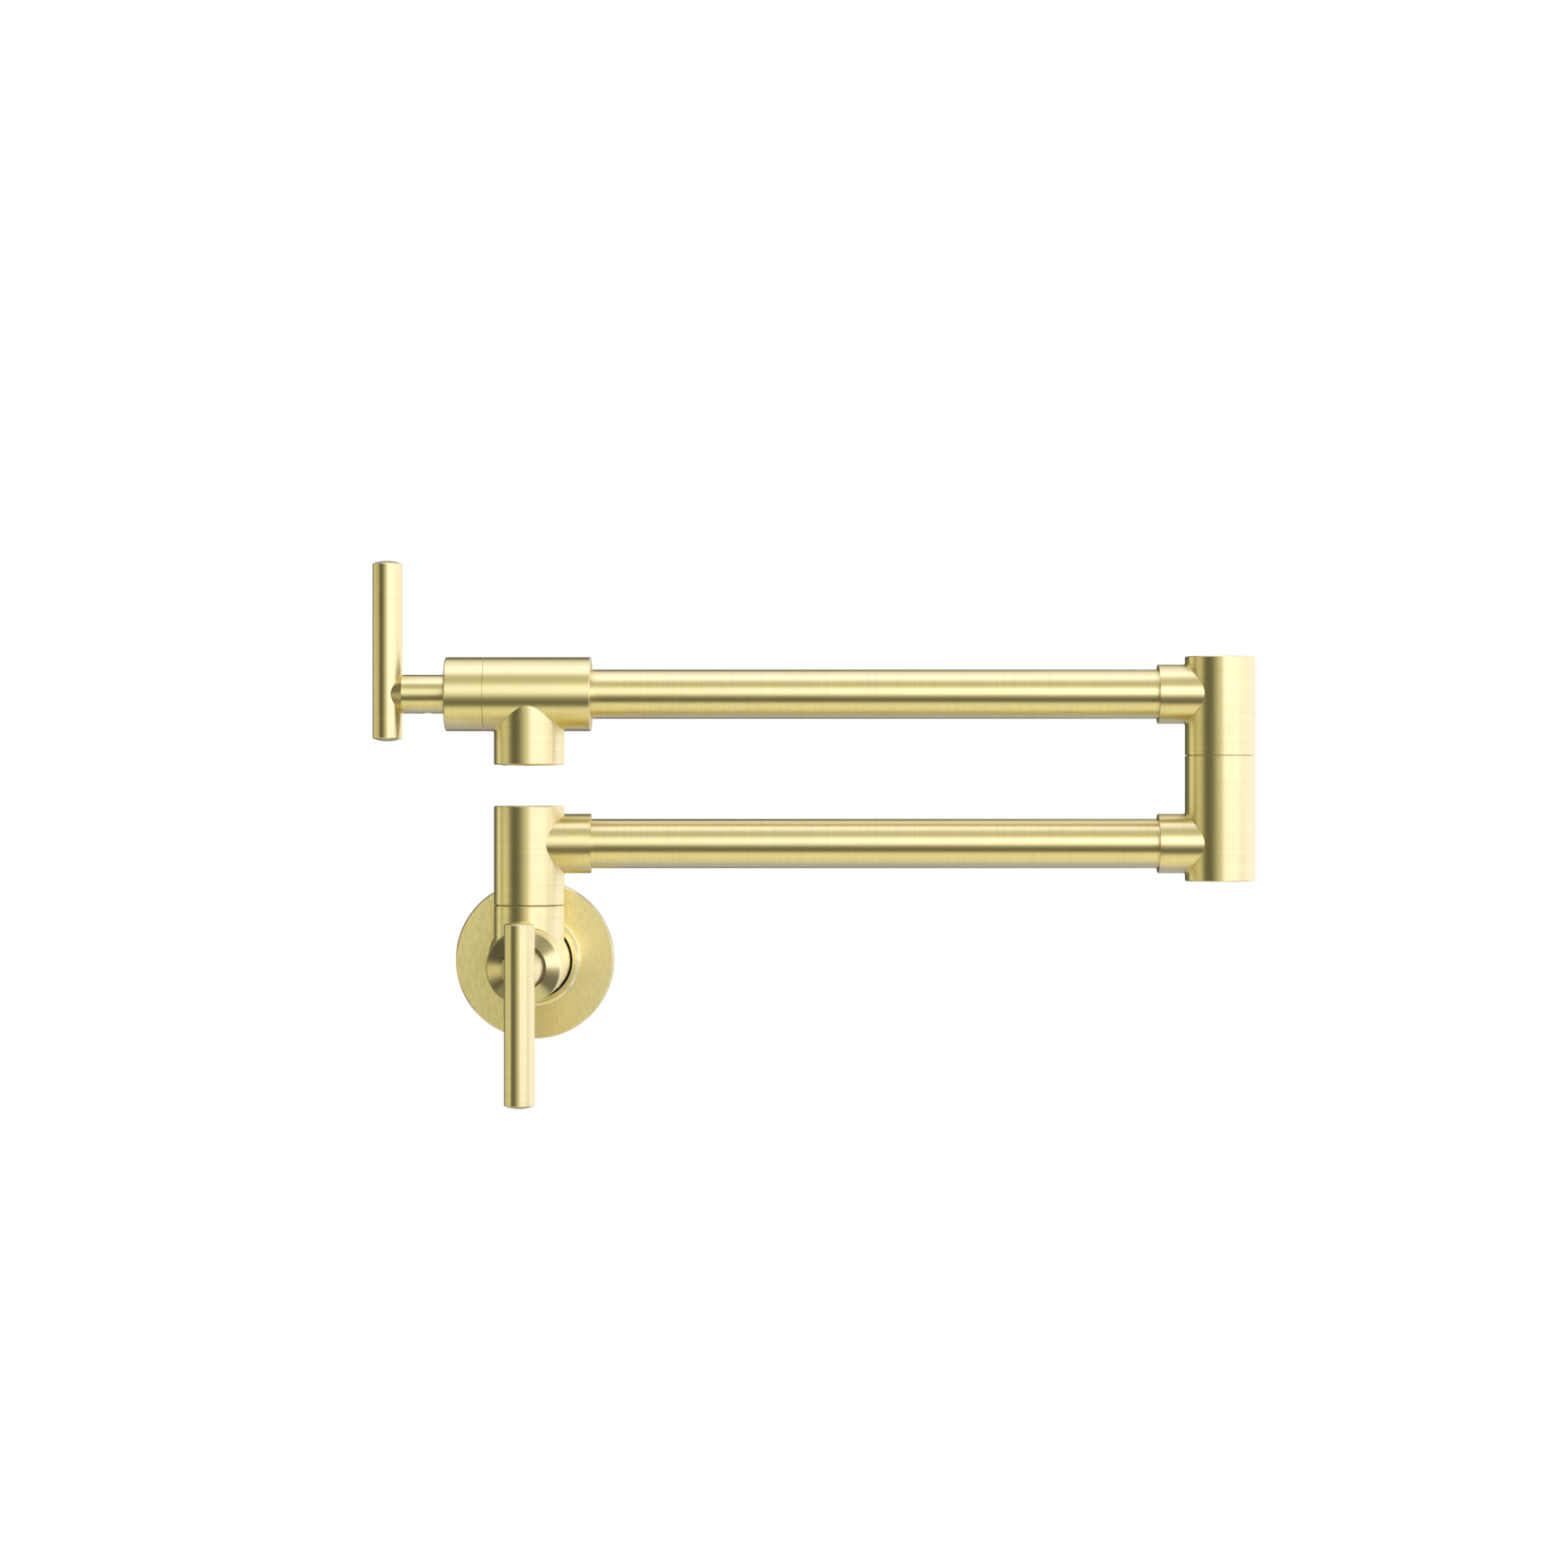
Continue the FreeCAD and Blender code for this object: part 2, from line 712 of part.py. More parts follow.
    # grub screw in the hub, its point on the stem's flat
    b = new_body(f"{tag}_handle_set_screw")
    tip = C.stem_flat + 0.03
    turn(
        b,
        [
            (0, tip),
            (1.2, tip),
            (C.screw_r - 0.03, tip + 0.8),
            (C.screw_r - 0.03, 7.2),
            (C.screw_r - 0.25, 7.45),
            (0, 7.45),
        ],
    )
    sk = outline(b, "key", hexagon(2.0), role="XY_Plane")
    sk.AttachmentOffset = FreeCAD.Placement(V(0, 0, 7.45), FreeCAD.Rotation())
    pocket(b, sk, 2.0)
    at = []
    for k in range(3):
        d = dim(base[k])
        at.append(d + C.screw_at * round(direction[k]) if round(direction[k]) else d)
    keep(b, f"{tag}_handle_set_screw", (at, rotation.multiply(axes((0, 0, -1), (0, 1, 0), (1, 0, 0)))))


valve_set("wall", WALL_VALVE)
valve_set("spout", SPOUT_VALVE)


# ---------------------------------------------------------------- swivels, made twice
def swivel_post(tag, frame):
    b = new_body(f"{tag}_swivel_post")
    low = -C.washer_th
    turn(
        b,
        [
            (C.post_bore_r, -C.thread_len),
            (C.thread_r - 0.6, -C.thread_len),
            (C.thread_r, 0.6 - C.thread_len),
            (C.thread_r, low),
            (C.post_r, low),
            (C.post_r, 3.8),
            (8.6, 3.8),
            (8.6, 6.2),
            (C.post_r, 6.2),
            (C.post_r, 9.8),
            (8.6, 9.8),
            (8.6, 12.2),
            (C.post_r, 12.2),
            (C.post_r, C.ledge_lo - 0.3),
            (C.neck_r, C.ledge_lo - 0.3),
            (C.neck_r, 23.2),
            (C.neck_r - 0.5, 23.7),
            (C.post_bore_r, 23.7),
        ],
    )
    keep(b, f"{tag}_swivel_post", frame)
    o_rings(f"{tag}_post_o_rings", frame, 9.52, 0.9, [5.0, 11.0])
    ring(f"{tag}_swivel_washer", frame, C.post_r + 0.1, C.washer_r, -C.washer_th, -0.02)
    ring(f"{tag}_glide_washer", frame, C.neck_r + 0.1, 10.8, C.ledge_hi + 0.1, C.ledge_hi + 0.7)
    b = new_body(f"{tag}_post_nut")
    z0, z1 = C.ledge_hi + 0.7, C.ledge_hi + 4.2
    turn(
        b,
        [
            (C.neck_r + 0.02, z0),
            (10.6, z0),
            (11.0, z0 + 0.4),
            (11.0, z1 - 0.4),
            (10.6, z1),
            (C.neck_r + 0.02, z1),
        ],
    )
    sk = outline(b, "spanner_slot", [(-1.5, -12.0), (1.5, -12.0), (1.5, 12.0), (-1.5, 12.0)], role="XY_Plane")
    sk.AttachmentOffset = FreeCAD.Placement(V(0, 0, z1.value), FreeCAD.Rotation())
    pocket(b, sk, 1.4)
    keep(b, f"{tag}_post_nut", frame)


swivel_post("wall", WALL_SWIVEL)
swivel_post("elbow", ELBOW_SWIVEL)


def arm_socket(name, cap_name, frame):
    """Turning column of an arm: bearing bore over the post, water room, collar for the tube, end cap."""
    b = new_body(name)
    top = C.open_len + C.end_len
    turn(
        b,
        [
            (0, 0),
            (C.col_r - 0.15, 0),
            (C.col_r, 0.15),
            (C.col_r, top - C.edge),
            (C.col_r - C.edge, top),
            (0, top),
        ],
        "column",
    )
    sk = circles(b, "collar", [(C.coll_r, 0, C.open_len)], "YZ_Plane")
    pad(b, sk, C.coll_len)
    blend_branch(b, C.blend_r)
    turn(
        b,
        [
            (0, -1.0),
            (C.post_r + C.slip, -1.0),
            (C.post_r + C.slip, C.ledge_lo),
            (C.neck_r + 0.2, C.ledge_lo),
            (C.neck_r + 0.2, C.ledge_hi),
            (C.room_r, C.ledge_hi),
            (C.room_r, top + 1),
            (0, top + 1),
        ],
        "bearing",
        cut=True,
    )
    sk = circles(b, "side_way", [(C.side_r, 0, C.open_len)], "YZ_Plane")
    pocket(b, sk, C.coll_len, back=True)
    seat = circles(b, "tube_seat", [(C.tube_r + C.slip, 0, C.open_len)], "YZ_Plane")
    seat.AttachmentOffset = FreeCAD.Placement(V(0, 0, C.tube_in.value), FreeCAD.Rotation())
    seat.setExpression(".AttachmentOffset.Base.z", C.tube_in.text)
    pocket(b, seat, C.coll_len, back=True)
    keep(b, name, frame)
    b = new_body(cap_name)
    r = C.room_r - C.slip
    turn(
        b,
        [
            (0, top - C.cap_th),
            (r - 0.4, top - C.cap_th),
            (r, top - C.cap_th + 0.4),
            (r, top - 4.5),
            (10.2, top - 4.5),
            (10.2, top - 2.5),
            (r, top - 2.5),
            (r, top - 0.25),
            (r - 0.25, top),
            (0, top),
        ],
    )
    keep(b, cap_name, frame)
    o_rings(cap_name + "_o_ring", frame, 10.98, 0.76, [top - 3.5])


arm_socket("lower_arm_socket", "lower_arm_cap", WALL_SWIVEL)
arm_socket("elbow_upper_socket", "elbow_cap", ELBOW_SWIVEL)

# fixed half of the elbow, on the lower arm: blind from below, carries the elbow post
b = new_body("elbow_lower_socket")
height = C.end_len + C.arm_gap - C.open_len
turn(
    b,
    [
        (0, 0),
        (C.col_r - C.edge, 0),
        (C.col_r, C.edge),
        (C.col_r, height - C.seam_gap - 0.15),
        (C.col_r - 0.15, height - C.seam_gap),
        (0, height - C.seam_gap),
    ],
    "column",
)
sk = circles(b, "collar", [(C.coll_r, 0, C.end_len)], "YZ_Plane")
pad(b, sk, C.coll_len)
blend_branch(b, C.blend_r)
turn(
    b,
    swivel_seat(height)
    + [
        (7.5, height - C.thread_len - 0.5),
        (7.5, 6.0),
        (0, 6.0),
    ],
    "post_seat",
    cut=True,
)
sk = circles(b, "side_way", [(C.side_r, 0, C.end_len)], "YZ_Plane")
pocket(b, sk, C.coll_len, back=True)
seat = circles(b, "tube_seat", [(C.tube_r + C.slip, 0, C.end_len)], "YZ_Plane")
seat.AttachmentOffset = FreeCAD.Placement(V(0, 0, C.tube_in.value), FreeCAD.Rotation())
seat.setExpression(".AttachmentOffset.Base.z", C.tube_in.text)
pocket(b, seat, C.coll_len, back=True)
keep(b, "elbow_lower_socket", ELBOW_BASE)


# ---------------------------------------------------------------- arm tubes
ALONG_X = axes((0, 0, -1), (0, 1, 0), (1, 0, 0))
for name, z in (("lower_arm_tube", ARM_LO), ("upper_arm_tube", ARM_HI)):
    b = new_body(name)
    z0, z1 = C.tube_in + 0.1, C.reach - C.tube_in - 0.1
    turn(b, [(C.tube_r - C.tube_wall, z0), (C.tube_r, z0), (C.tube_r, z1), (C.tube_r - C.tube_wall, z1)])
    keep(b, name, ((0, -C.wall_off, z), ALONG_X))


# ---------------------------------------------------------------- aerator in the outlet
b = new_body("aerator_housing")
turn(
    b,
    [
        (8.9, -0.3),
        (10.9, -0.3),
        (C.aer_r - 0.1, 0.1),
        (C.aer_r - 0.1, 9.0),
        (9.8, 9.0),
        (9.8, 1.2),
        (8.9, 1.2),
    ],
)
sk = circles(b, "key_notches", [(0.9, 9.9, 0), (0.9, -9.9, 0), (0.9, 0, 9.9), (0.9, 0, -9.9)], "XY_Plane")
sk.AttachmentOffset = FreeCAD.Placement(V(0, 0, -0.3), FreeCAD.Rotation())
pocket(b, sk, 0.9, back=True)
keep(b, "aerator_housing", OUTLET)
b = new_body("aerator_insert")
turn(
    b,
    [(0, -0.45), (8.6, 0.5), (8.6, 1.3), (9.7, 1.3), (9.7, 7.0), (0, 7.0)],
    dome=(0,),
)
cells = [(1.0, 0, 0)]
for count, radius in ((6, 2.6), (12, 5.1), (18, 7.5)):
    for k in range(count):
        a = 2 * math.pi * k / count
        cells.append((1.0, radius * math.cos(a), radius * math.sin(a)))
sk = circles(b, "honeycomb", cells, "XY_Plane")
pocket(b, sk)
keep(b, "aerator_insert", OUTLET)
ring("aerator_gasket", OUTLET, 8.0, 11.2, 9.0, C.aer_deep)


# ---------------------------------------------------------------- check and export
doc.recompute()
bad = [o.Label for o in doc.Objects if "Invalid" in o.State or "Error" in o.State]
if bad:
    raise SystemExit(f"failed objects: {bad}")
for o in SUBPARTS:
    s = o.Shape
    if s.isNull() or not s.isValid() or not s.Solids or s.Volume < 1.0:
        raise SystemExit(f"bad shape: {o.Label}")

os.makedirs("parts", exist_ok=True)
for name in os.listdir("parts"):
    if name.endswith(".step"):
        os.remove(os.path.join("parts", name))
for o in SUBPARTS:
    o.Shape.exportStep(os.path.join("parts", o.Label + ".step"))
print(len(SUBPARTS), "sub-parts written")
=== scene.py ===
"""Looks for the folding pot filler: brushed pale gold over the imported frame, in a white studio."""

import json
import math

import bpy
import numpy as np
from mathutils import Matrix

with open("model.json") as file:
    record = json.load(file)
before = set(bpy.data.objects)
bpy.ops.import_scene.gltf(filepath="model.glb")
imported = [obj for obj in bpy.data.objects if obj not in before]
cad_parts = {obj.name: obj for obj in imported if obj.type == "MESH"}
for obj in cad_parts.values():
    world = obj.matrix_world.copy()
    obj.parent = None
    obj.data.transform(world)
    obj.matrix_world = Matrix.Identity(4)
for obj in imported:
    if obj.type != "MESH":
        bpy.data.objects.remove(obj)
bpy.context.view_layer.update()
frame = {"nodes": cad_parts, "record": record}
nodes = frame["nodes"]

# ---------------------------------------------------------------- axes of the turned surfaces, in metres
WALL_Y = -0.041
REACH = 0.280
ARM_LO, ARM_HI = 0.0487, 0.1092
BAR = 0.0574
X, Y, Z = np.eye(3)
WALL_VALVE = ((0, WALL_Y, 0), Y)
SPOUT_VALVE = ((0, WALL_Y, ARM_HI), X)
COLUMN = ((0, WALL_Y, 0), Z)
ELBOW = ((REACH, WALL_Y, 0), Z)
ARM_L = ((0, WALL_Y, ARM_LO), X)
ARM_U = ((0, WALL_Y, ARM_HI), X)
WALL_BAR = ((0, WALL_Y - BAR, 0), Z)
SPOUT_BAR = ((-BAR, WALL_Y, 0), Z)

# each shown node: the axes its surfaces are turned about, with the radii of its cylinders where it has two
TURNED = {
    "wall_flange": [(WALL_VALVE, None)],
    "wall_valve_body": [(WALL_VALVE, 0.015), (COLUMN, 0.0142)],
    "wall_bonnet": [(WALL_VALVE, None)],
    "wall_handle_hub": [(WALL_VALVE, 0.00785), (WALL_BAR, 0.00601)],
    "wall_handle_bar": [(WALL_BAR, None)],
    "lower_arm_socket": [(COLUMN, 0.0142), (ARM_L, 0.012)],
    "lower_arm_cap": [(COLUMN, None)],
    "lower_arm_tube": [(ARM_L, None)],
    "elbow_lower_socket": [(ELBOW, 0.0142), (ARM_L, 0.012)],
    "elbow_upper_socket": [(ELBOW, 0.0142), (ARM_U, 0.012)],
    "elbow_cap": [(ELBOW, None)],
    "upper_arm_tube": [(ARM_U, None)],
    "spout_valve_body": [(SPOUT_VALVE, 0.015), (COLUMN, 0.0142)],
    "spout_bonnet": [(SPOUT_VALVE, None)],
    "spout_handle_hub": [(SPOUT_VALVE, 0.00785), (SPOUT_BAR, 0.00601)],
    "spout_handle_bar": [(SPOUT_BAR, None)],
    "aerator_housing": [(COLUMN, None)],
}


FEED = math.radians(37.5)  # lean of the feed marks


def brush_layers(obj, turned):
    """Writes three corner attributes: brush_across, the surface direction square to the brush marks, brush_st,
    distances along and across the marks, and turned_normal, the exact normal of the cylinders, which has no step where
    two faces of one cylinder meet. The marks run round each turned surface."""
    me = obj.data
    n_loops = len(me.loops)
    co = np.zeros(len(me.vertices) * 3)
    me.vertices.foreach_get("co", co)
    co = co.reshape(-1, 3)
    lv = np.zeros(n_loops, int)
    me.loops.foreach_get("vertex_index", lv)
    nor = np.zeros(n_loops * 3)
    me.corner_normals.foreach_get("vector", nor)
    nor = nor.reshape(-1, 3)
    n_poly = len(me.polygons)
    start = np.zeros(n_poly, int)
    total = np.zeros(n_poly, int)
    me.polygons.foreach_get("loop_start", start)
    me.polygons.foreach_get("loop_total", total)
    pnor = np.zeros(n_poly * 3)
    me.polygons.foreach_get("normal", pnor)
    pnor = pnor.reshape(-1, 3)
    owner = np.repeat(np.arange(n_poly), total)
    p = co[lv]
    centre = np.zeros((n_poly, 3))
    np.add.at(centre, owner, p)
    centre /= total[:, None]

    found = []
    for (origin, axis), radius in turned:
        o, a = np.array(origin, float), np.array(axis, float)
        d = p - o
        h = d @ a
        rad = d - h[:, None] * a
        r = np.linalg.norm(rad, axis=1)
        rhat = rad / np.maximum(r, 1e-9)[:, None]
        dc = centre - o
        radc = dc - (dc @ a)[:, None] * a
        rc = np.linalg.norm(radc, axis=1)
        rhc = radc / np.maximum(rc, 1e-9)[:, None]
        around = np.cross(np.broadcast_to(a, rhc.shape), rhc)
        off = np.abs((pnor * around).sum(1))  # 0 on a surface turned about this axis
        if radius is not None:
            worst = np.zeros(n_poly)
            np.maximum.at(worst, owner, np.abs(r - radius))
            flat = np.abs((pnor * rhc).sum(1))
            off = np.where((worst < 6e-5) & (flat > 0.95), -1.0, off + 0.02)
            round_face = off < 0
        else:
            round_face = (np.abs(pnor @ a) < 0.04) & (np.abs((pnor * rhc).sum(1)) > 0.985)
        found.append((off, a, h, r, rhat, rhc, round_face))
    pick = np.argmin(np.stack([f[0] for f in found]), axis=0)
    across = np.zeros((n_loops, 3))
    st = np.zeros((n_loops, 3))
    exact = nor.copy()
    for k, (off, a, h, r, rhat, rhc, round_face) in enumerate(found):
        m = pick[owner] == k
        bend = m & round_face[owner]
        exact[bend] = (rhat * np.sign((pnor * rhc).sum(1))[owner][:, None])[bend]
        around = np.cross(np.broadcast_to(a, rhat.shape), rhat)
        c = np.cross(exact, around)
        size = np.linalg.norm(c, axis=1)
        c = c / np.maximum(size, 1e-6)[:, None]
        across[m] = c[m]
        e1 = np.array((1.0, 0, 0)) if abs(a[0]) < 0.5 else np.array((0, 1.0, 0))
        e2 = np.cross(a, e1)
        base = np.arctan2(rhc @ e2, rhc @ e1)[owner]
        turn = np.arctan2(rhat @ e2, rhat @ e1) - base
        turn = (turn + np.pi) % (2 * np.pi) - np.pi
        st[m, 0] = ((base + turn) * np.maximum(r, 0.004))[m]
        tilt = np.abs((pnor * a).sum(1))[owner]
        st[m, 1] = (h * np.sqrt(np.clip(1 - tilt**2, 0, 1)) + r * tilt)[m]
        st[m, 2] = k * 0.5
    if obj.name == "wall_flange":
        # the flange's front is brushed straight, up and down, before it is fitted
        m = (pnor[:, 1] < -0.99)[owner] & (np.abs(p[:, 1] + 0.006) < 2e-5)
        across[m] = (1, 0, 0)
        st[m] = np.stack([p[m, 2], p[m, 0], np.full(m.sum(), 0.25)], axis=1)
    layers = [("brush_across", across), ("brush_st", st), ("turned_normal", exact)]
    if obj.name.endswith("_bonnet"):
        # the lathe's feed marks on the front are a fine saw-tooth that leans outwards
        rhat = found[0][4]
        layers.append(("feed_slope", nor * math.cos(FEED) + rhat * math.sin(FEED)))
    for name, data in layers:
        layer = me.attributes.new(name, "FLOAT_VECTOR", "CORNER")
        layer.data.foreach_set("vector", data.astype(np.float32).ravel())


for name, turned in TURNED.items():
    brush_layers(nodes[name], turned)


# ---------------------------------------------------------------- materials
class Tree:
    """A node tree with short ways to add and join nodes."""

    def __init__(self, tree):
        self.t = tree
        tree.nodes.clear()

    def add(self, kind, **values):
        n = self.t.nodes.new(kind)
        for k, v in values.items():
            setattr(n, k, v)
        return n

    def join(self, a, b):
        self.t.links.new(a, b)

    def put(self, socket, value):
        if isinstance(value, bpy.types.NodeSocket):
            self.join(value, socket)
        else:
            socket.default_value = value

    def math(self, op, a, b=None, clamp=False):
        n = self.add("ShaderNodeMath", operation=op, use_clamp=clamp)
        self.put(n.inputs[0], a)
        if b is not None:
            self.put(n.inputs[1], b)
        return n.outputs[0]

    def ramp(self, value, lo, hi, out_lo=0.0, out_hi=1.0, smooth=True):
        n = self.add("ShaderNodeMapRange", interpolation_type="SMOOTHSTEP" if smooth else "LINEAR")
        for key, v in (("Value", value), ("From Min", lo), ("From Max", hi), ("To Min", out_lo), ("To Max", out_hi)):
            self.put(n.inputs[key], v)
        return n.outputs["Result"]

    def noise(self, vector, scale, detail=2.0, rough=0.5):
        n = self.add("ShaderNodeTexNoise")
        self.join(vector, n.inputs["Vector"])
        n.inputs["Scale"].default_value = scale
        n.inputs["Detail"].default_value = detail
        n.inputs["Roughness"].default_value = rough
        return n.outputs["Fac"]

    def mix(self, fac, a, b):
        n = self.add("ShaderNodeMix", data_type="RGBA")
        self.put(n.inputs["Factor"], fac)
        self.put(n.inputs["A"], a)
        self.put(n.inputs["B"], b)
        return n.outputs["Result"]

    def turn(self, vector, kind):
        """A direction of the mesh, as the body carries it."""
        n = self.add("ShaderNodeVectorTransform", vector_type=kind, convert_from="OBJECT", convert_to="WORLD")
        self.join(vector, n.inputs[0])
        return n.outputs[0]

    def stretch(self, vector, scale):
        n = self.add("ShaderNodeVectorMath", operation="MULTIPLY")
        self.join(vector, n.inputs[0])
        n.inputs[1].default_value = scale
        return n.outputs[0]


def new_material(name):
    m = bpy.data.materials.new(name)
    m.use_nodes = True
    t = Tree(m.node_tree)
    out = t.add("ShaderNodeOutputMaterial")
    b = t.add("ShaderNodeBsdfPrincipled")
    t.join(b.outputs[0], out.inputs[0])
    return m, t, b


GOLD_A = (0.876, 0.738, 0.255, 1)
GOLD_B = (0.824, 0.694, 0.239, 1)


def brushed_gold(name, rough=0.345, streak=0.027, aniso=0.68, marks=(22.0, 1700.0), feed=False, tones=(GOLD_A, GOLD_B)):
    m, t, b = new_material(name)
    st = t.add("ShaderNodeAttribute", attribute_name="brush_st").outputs["Vector"]
    across = t.add("ShaderNodeAttribute", attribute_name="brush_across").outputs["Vector"]
    fine = t.noise(t.stretch(st, (*marks, 1.0)), 1.0, 3.0, 0.65)
    cloud = t.noise(t.stretch(st, (40.0, 40.0, 1.0)), 1.0, 2.0, 0.5)
    b.inputs["Metallic"].default_value = 1.0
    b.inputs["Anisotropic"].default_value = aniso
    b.inputs["Coat Weight"].default_value = 0.45  # clear sealer over the brushing
    b.inputs["Coat Roughness"].default_value = 0.35
    t.join(t.turn(across, "VECTOR"), b.inputs["Tangent"])
    t.join(t.mix(t.ramp(fine, 0.3, 0.7), *tones), b.inputs["Base Color"])
    wander = t.math("ADD", fine, t.math("MULTIPLY", t.math("SUBTRACT", cloud, 0.5), 0.35))
    t.join(t.ramp(wander, 0.25, 0.75, rough - streak, rough + streak, smooth=False), b.inputs["Roughness"])
    slope = t.add("ShaderNodeAttribute", attribute_name="feed_slope" if feed else "turned_normal").outputs["Vector"]
    t.join(t.turn(slope, "NORMAL"), b.inputs["Normal"])
    return m


def machined(name, light, dark, rough):
    """Turned raw metal, hidden inside: fine rings and a little tarnish."""
    m, t, b = new_material(name)
    co = t.add("ShaderNodeTexCoord").outputs["Object"]
    grain = t.noise(co, 900.0, 3.0)
    tarnish = t.noise(co, 90.0, 3.0)
    b.inputs["Metallic"].default_value = 1.0
    t.join(t.mix(t.ramp(tarnish, 0.3, 0.7), light, dark), b.inputs["Base Color"])
    t.join(t.ramp(grain, 0.2, 0.8, rough - 0.06, rough + 0.06), b.inputs["Roughness"])
    return m


def moulded(name, light, dark, rough, scale=1400.0, bump=0.1, shine=0.5):
    """Rubber, foam, ceramic or plastic with a fine moulded surface."""
    m, t, b = new_material(name)
    co = t.add("ShaderNodeTexCoord").outputs["Object"]
    grain = t.noise(co, scale, 4.0)
    cloud = t.noise(co, 60.0, 2.0)
    t.join(t.mix(t.ramp(cloud, 0.3, 0.7), light, dark), b.inputs["Base Color"])
    t.join(t.ramp(grain, 0.2, 0.8, rough - 0.08, rough + 0.08), b.inputs["Roughness"])
    b.inputs["Specular IOR Level"].default_value = shine
    n = t.add("ShaderNodeBump")
    n.inputs["Strength"].default_value = bump
    n.inputs["Distance"].default_value = 0.00005
    t.join(grain, n.inputs["Height"])
    t.join(n.outputs[0], b.inputs["Normal"])
    return m


FINISH = {
    "brushed_gold": brushed_gold("brushed_gold"),
    "raw_brass": machined("raw_brass", (0.72, 0.54, 0.25, 1), (0.55, 0.38, 0.16, 1), 0.34),
    "black_rubber": moulded("black_rubber", (0.020, 0.020, 0.021, 1), (0.032, 0.031, 0.030, 1), 0.55),
    "foam": moulded("foam", (0.038, 0.037, 0.034, 1), (0.050, 0.048, 0.044, 1), 0.85, 700.0, 0.5, 0.1),
    "ceramic": moulded("ceramic", (0.86, 0.85, 0.82, 1), (0.80, 0.78, 0.74, 1), 0.22, 2000.0, 0.02),
    "slide_plastic": moulded("slide_plastic", (0.82, 0.82, 0.79, 1), (0.76, 0.75, 0.71, 1), 0.42),
    "steel": machined("steel", (0.56, 0.53, 0.42, 1), (0.42, 0.40, 0.33, 1), 0.30),
    "grey_plastic": moulded("grey_plastic", (0.52, 0.52, 0.50, 1), (0.45, 0.45, 0.43, 1), 0.40, shine=0.25),
    "dark_plastic": moulded("dark_plastic", (0.040, 0.039, 0.037, 1), (0.062, 0.060, 0.056, 1), 0.50, shine=0.3),
}
for part in frame["record"]["subparts"]:
    me = nodes[part["node"]].data
    me.materials.clear()
    me.materials.append(FINISH[part["material_slot"]])
nodes["wall_flange"].data.materials[0] = brushed_gold(
    "brushed_gold_flat", rough=0.22, streak=0.06, aniso=0.3, marks=(260.0, 1900.0),
    tones=((0.875, 0.736, 0.256, 1), (0.735, 0.618, 0.214, 1)))
# the bonnets' turned front faces take a darker copy of the gold: painted shade that dims their highlights
SHADED_TURNED_FACE = brushed_gold(
    "brushed_gold_turned_shaded", rough=0.30, aniso=0.5, feed=True, tones=((0.735, 0.617, 0.214, 1), (0.680, 0.571, 0.198, 1)))

# bores that open to the outside, and the gap round the body inside the flange, get a near-black brass past the edge:
# painted shade in these hollows
BORE_SHADE = machined("bore_painted_shade", (0.045, 0.030, 0.014, 1), (0.025, 0.017, 0.009, 1), 0.5)
for name, (origin, axis), radius in (
    ("wall_bonnet", WALL_VALVE, 0.00872),
    ("spout_bonnet", SPOUT_VALVE, 0.00872),
    ("wall_flange", WALL_VALVE, 0.01582),
):
    me = nodes[name].data
    me.materials.append(BORE_SHADE)
    for q in me.polygons:
        d = np.array(q.center) - np.array(origin)
        d -= (d @ axis) * axis
        r = np.linalg.norm(d)
        inward = (np.array(q.normal) @ d) / max(r, 1e-9)
        if r < radius or inward < -0.5:
            q.material_index = 1
    if "bonnet" in name:
        me.materials.append(SHADED_TURNED_FACE)
        for q in me.polygons:
            if np.array(q.normal) @ axis < -0.99 and q.material_index == 0:
                q.material_index = 2

# ---------------------------------------------------------------- floor, below the picture's lower edge
FLOOR_Z = -0.315
n_side = 96
ring = []
for k in range(n_side):
    a = 2 * math.pi * k / n_side
    c, s = math.cos(a), math.sin(a)
    q = (abs(c) ** 4 + abs(s) ** 4) ** -0.25
    ring.append((0.115 + 0.66 * q * c, -0.26 + 0.50 * q * s, FLOOR_Z))
me = bpy.data.meshes.new("floor")
me.from_pydata(ring, [], [tuple(range(n_side))])
floor = bpy.data.objects.new("floor", me)
bpy.context.scene.collection.objects.link(floor)
floor.visible_glossy = False
m, t, b = new_material("floor")
co = t.add("ShaderNodeTexCoord").outputs["Object"]
t.join(t.mix(t.noise(co, 3.0), (0.885, 0.885, 0.88, 1), (0.905, 0.905, 0.90, 1)), b.inputs["Base Color"])
b.inputs["Roughness"].default_value = 0.9
b.inputs["Specular IOR Level"].default_value = 0.0
# the sheet is one-sided, so the tap can also be seen from below
sheet = t.add("ShaderNodeMixShader")
t.join(t.add("ShaderNodeNewGeometry").outputs["Backfacing"], sheet.inputs[0])
t.join(b.outputs[0], sheet.inputs[1])
t.join(t.add("ShaderNodeBsdfTransparent").outputs[0], sheet.inputs[2])
t.join(sheet.outputs[0], next(n for n in m.node_tree.nodes if n.type == "OUTPUT_MATERIAL").inputs[0])
me.materials.append(m)

# ---------------------------------------------------------------- studio: white cyclorama with soft panels and flags
world = bpy.data.worlds.new("studio")
bpy.context.scene.world = world
world.use_nodes = True
t = Tree(world.node_tree)
axes = t.add("ShaderNodeSeparateXYZ")
t.join(t.add("ShaderNodeTexCoord").outputs["Generated"], axes.inputs[0])
dx, dy, dz = axes.outputs
front = t.math("MULTIPLY", dy, -1.0)
DEG = 180 / math.pi
round_ = t.math("MULTIPLY", t.math("ARCTAN2", dx, front), DEG)  # 0 at the camera, + to the right


tilt = t.math("MULTIPLY", t.math("ARCSINE", dz), DEG)  # above or below the horizon


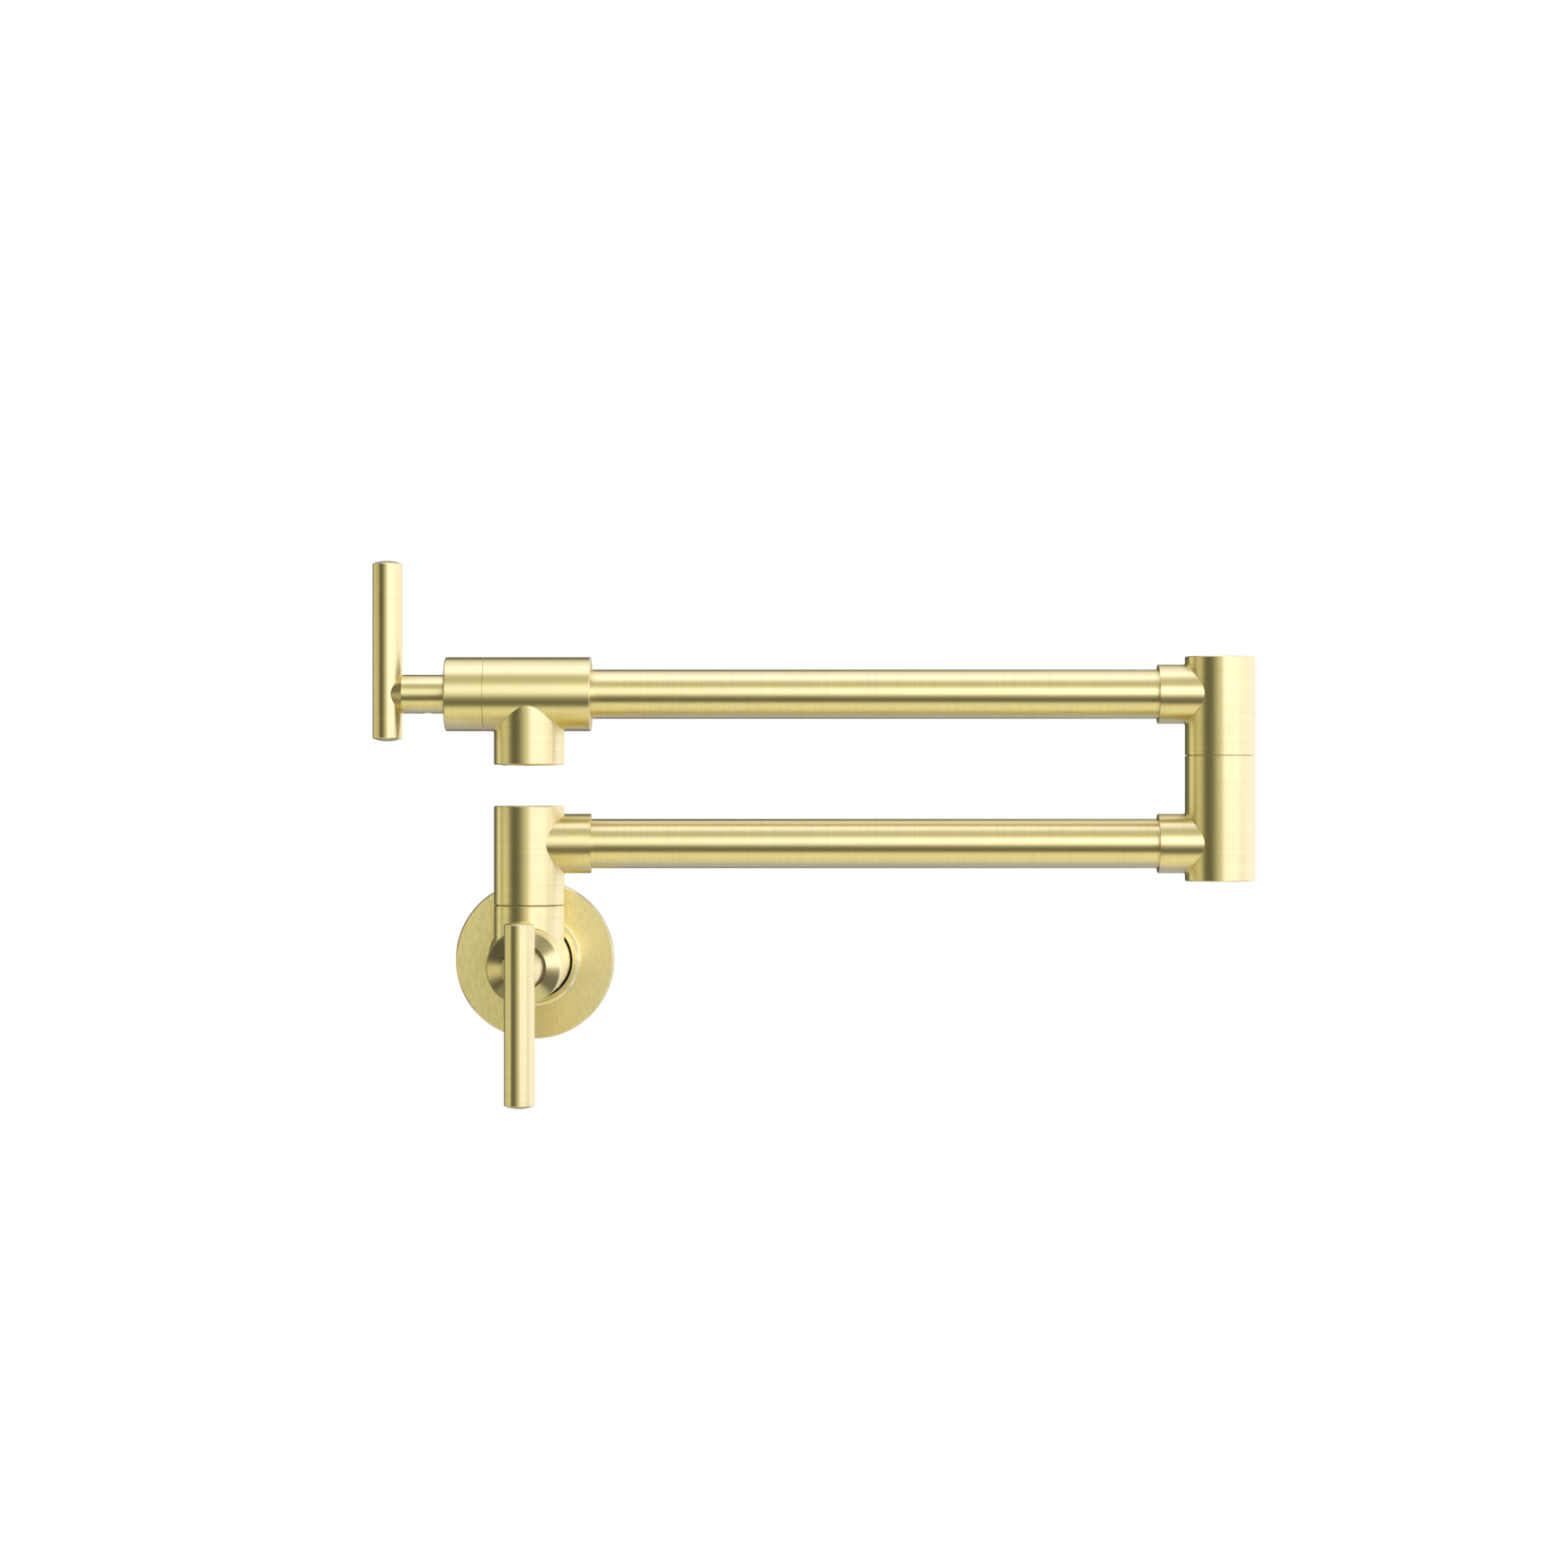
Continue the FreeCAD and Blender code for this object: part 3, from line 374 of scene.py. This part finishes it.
def window(angle, lo, hi, soft_lo, soft_hi):
    """1 between two angles, with soft edges."""
    up = t.ramp(angle, lo - soft_lo / 2, lo + soft_lo / 2)
    down = t.ramp(angle, hi - soft_hi / 2, hi + soft_hi / 2, 1.0, 0.0)
    return t.math("MULTIPLY", up, down)


def lay(under, masks, level):
    """Puts a panel of that level over what is there."""
    mask = masks[0]
    for other in masks[1:]:
        mask = t.math("MULTIPLY", mask, other)
    n = t.add("ShaderNodeMix", data_type="FLOAT")
    t.put(n.inputs["Factor"], mask)
    t.put(n.inputs["A"], under)
    t.put(n.inputs["B"], level)
    return n.outputs["Result"]


studio = lay(0.12, [window(round_, -94, -65, 18, 24), window(tilt, -20.5, 3.5, 20, 10)], 1.33)  # left fill
studio = lay(studio, [window(round_, -126, -103, 8, 12), window(tilt, -50, 58, 20, 20)], 0.95)  # strip, left behind
studio = lay(studio, [window(round_, 108, 170, 10, 16), window(tilt, -45, 55, 20, 20)], 1.1)  # right, behind
rise = t.ramp(round_, -10, 10, 0.55, 0.92)
studio = lay(studio, [window(round_, -38, 28, 20, 20), window(tilt, 38, 62, 16, 2)], rise)  # above the key
studio = lay(studio, [window(round_, 28, 105, 20, 14), window(tilt, 32, 62, 14, 2)], 0.42)  # above the right key
studio = lay(studio, [window(round_, -19, 18, 30, 16), window(tilt, -4, 37, 34, 22)], 1.2)  # key, front
fade = t.ramp(round_, 14, 34, 2.48, 1.92)
foot = t.math("ADD", tilt, t.math("MULTIPLY", window(round_, 25, 61, 18, 12), 6.5))
studio = lay(studio, [window(round_, 4.7, 94, 14, 20), t.ramp(foot, -9.5, 2.5), t.ramp(tilt, 33, 21)], fade)  # key, right
side = t.math("MULTIPLY", window(round_, 84, 130, 12, 16), window(tilt, -62, 55, 16, 20))
studio = lay(studio, [side], 1.2)  # side wall, right
above = t.ramp(tilt, 55, 63)
studio = lay(studio, [above], 1.55)  # overhead
studio = lay(studio, [window(round_, 20, 62, 12, 20), window(tilt, 50, 68, 8, 10)], 0.12)  # flag
studio = lay(studio, [t.ramp(tilt, 44, 58), t.ramp(dy, 0.02, 0.22)], 1.05)  # overhead, behind
low = t.math("ADD", tilt, t.ramp(round_, 15, 55, 0.0, 7.0))
studio = lay(studio, [t.ramp(low, -37, -43)], 1.07)  # floor
studio = lay(studio, [window(round_, -80, -38, 16, 16), t.ramp(tilt, -36, -42)], 0.28)  # floor, left
behind = t.math("MULTIPLY", t.ramp(tilt, -30, -44), t.ramp(dy, -0.2, 0.45))
studio = lay(studio, [behind], 0.5)  # floor, behind
rays = t.add("ShaderNodeLightPath")
light = t.add("ShaderNodeBackground")
diffuse = rays.outputs["Is Diffuse Ray"]
cool = t.math("MULTIPLY", t.ramp(studio, 0.8, 2.0), t.ramp(round_, -60, -40))
for panel in (side, above, behind):
    cool = t.math("MAXIMUM", cool, panel)
cool = t.math("MULTIPLY", cool, t.math("SUBTRACT", 1.0, diffuse))
t.join(t.mix(cool, (1, 1, 1, 1), (1.0, 1.05, 1.9, 1)), light.inputs["Color"])  # the bright panels are cooler
t.join(lay(studio, [diffuse], 1.08), light.inputs["Strength"])
white = t.add("ShaderNodeBackground")
white.inputs["Color"].default_value = (1, 1, 1, 1)
white.inputs["Strength"].default_value = 1.0
both = t.add("ShaderNodeMixShader")
t.join(rays.outputs["Is Camera Ray"], both.inputs[0])
t.join(light.outputs[0], both.inputs[1])
t.join(white.outputs[0], both.inputs[2])
out = t.add("ShaderNodeOutputWorld")
t.join(both.outputs[0], out.inputs[0])

# ---------------------------------------------------------------- camera: level, square to the wall
cam = bpy.data.cameras.new("camera")
cam.sensor_fit = "HORIZONTAL"
cam.sensor_width = 36.0
cam.lens = 36.0 * 4261.0 / 1740.0
cam.clip_end = 20.0
camera = bpy.data.objects.new("camera", cam)
camera.location = (0.1033, -1.597, 0.0728)
camera.rotation_euler = (math.pi / 2, 0, 0)
bpy.context.scene.collection.objects.link(camera)
bpy.context.scene.camera = camera
bpy.context.scene.view_settings.view_transform = "Standard"
bpy.context.scene.view_settings.look = "None"
